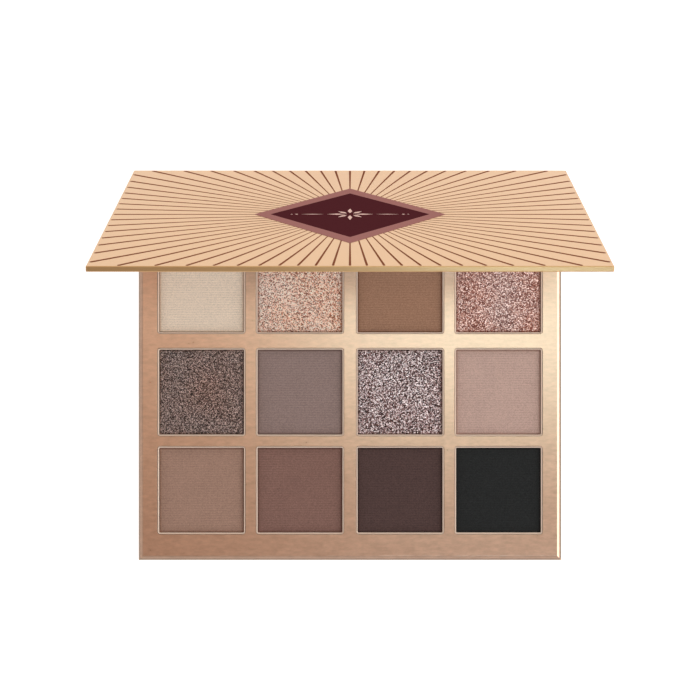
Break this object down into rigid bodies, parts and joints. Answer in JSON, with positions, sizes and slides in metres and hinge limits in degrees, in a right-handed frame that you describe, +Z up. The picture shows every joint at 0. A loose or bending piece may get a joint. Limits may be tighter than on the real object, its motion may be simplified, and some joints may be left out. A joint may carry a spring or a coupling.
{
  "type": "eyeshadow palette",
  "caption": "Book-style paperboard eyeshadow palette: a shallow foil-faced tray of square pressed-powder pans with a folding spine, mirrored lid and magnetic closure.",
  "frame": {"origin": "on the base panel's flat underside, below the centre of the tray", "axes": "+Z up out of the tray, +Y towards the spine, +X to the user's right along the spine"},
  "size_m": [0.1292, 0.1167, 0.1035],
  "materials": {
    "greyboard": "matte grey paperboard",
    "printed_paper": "satin printed cover paper",
    "lining_paper": "plain matte lining paper",
    "champagne_foil": "champagne metallic foil-laminated card with a fine grain",
    "tinplate": "satin tinplate",
    "glue": "matte adhesive",
    "magnet": "nickel plate",
    "mirror": "silvered glass",
    "powder_r1c1": "cream matte pressed powder",
    "powder_r1c2": "rose-gold glitter pressed powder",
    "powder_r1c3": "umber matte pressed powder",
    "powder_r1c4": "pink-mauve glitter pressed powder",
    "powder_r2c1": "dark taupe shimmer pressed powder",
    "powder_r2c2": "taupe matte pressed powder",
    "powder_r2c3": "silver-mauve glitter pressed powder",
    "powder_r2c4": "pink-beige matte pressed powder",
    "powder_r3c1": "clay matte pressed powder",
    "powder_r3c2": "walnut matte pressed powder",
    "powder_r3c3": "espresso matte pressed powder",
    "powder_r3c4": "black matte pressed powder"
  },
  "bodies": {
    "base": {"base_board": "greyboard", "base_wrap": "printed_paper", "tray_floor": "greyboard", "pan_board": "greyboard", "tray_shell": "champagne_foil", "tray_magnet_left": "magnet", "tray_magnet_right": "magnet", "glue_pad_r1c1": "glue", "glue_pad_r1c2": "glue", "glue_pad_r1c3": "glue", "glue_pad_r1c4": "glue", "glue_pad_r2c1": "glue", "glue_pad_r2c2": "glue", "glue_pad_r2c3": "glue", "glue_pad_r2c4": "glue", "glue_pad_r3c1": "glue", "glue_pad_r3c2": "glue", "glue_pad_r3c3": "glue", "glue_pad_r3c4": "glue", "pan_r1c1": "tinplate", "pan_r1c2": "tinplate", "pan_r1c3": "tinplate", "pan_r1c4": "tinplate", "pan_r2c1": "tinplate", "pan_r2c2": "tinplate", "pan_r2c3": "tinplate", "pan_r2c4": "tinplate", "pan_r3c1": "tinplate", "pan_r3c2": "tinplate", "pan_r3c3": "tinplate", "pan_r3c4": "tinplate", "powder_r1c1": "powder_r1c1", "powder_r1c2": "powder_r1c2", "powder_r1c3": "powder_r1c3", "powder_r1c4": "powder_r1c4", "powder_r2c1": "powder_r2c1", "powder_r2c2": "powder_r2c2", "powder_r2c3": "powder_r2c3", "powder_r2c4": "powder_r2c4", "powder_r3c1": "powder_r3c1", "powder_r3c2": "powder_r3c2", "powder_r3c3": "powder_r3c3", "powder_r3c4": "powder_r3c4"},
    "spine": {"spine_board": "greyboard", "spine_wrap": "printed_paper", "spine_lining": "lining_paper"},
    "lid": {"lid_board": "greyboard", "lid_wrap": "printed_paper", "lid_lining": "lining_paper", "lid_magnet_left": "magnet", "lid_magnet_right": "magnet", "mirror_cover": "champagne_foil", "mirror_board": "greyboard", "mirror": "mirror"}
  },
  "joints": [
    {"name": "spine_hinge", "type": "hinge", "parent": "base", "child": "spine", "pos_m": [0, 0.0524, 0], "axis": [-1, 0, 0], "range_deg": [-71.5, 18.5]},
    {"name": "lid_hinge", "type": "hinge", "parent": "spine", "child": "lid", "pos_m": [0, 0.06549, 0.00438], "axis": [-1, 0, 0], "range_deg": [0, 90]}
  ]
}
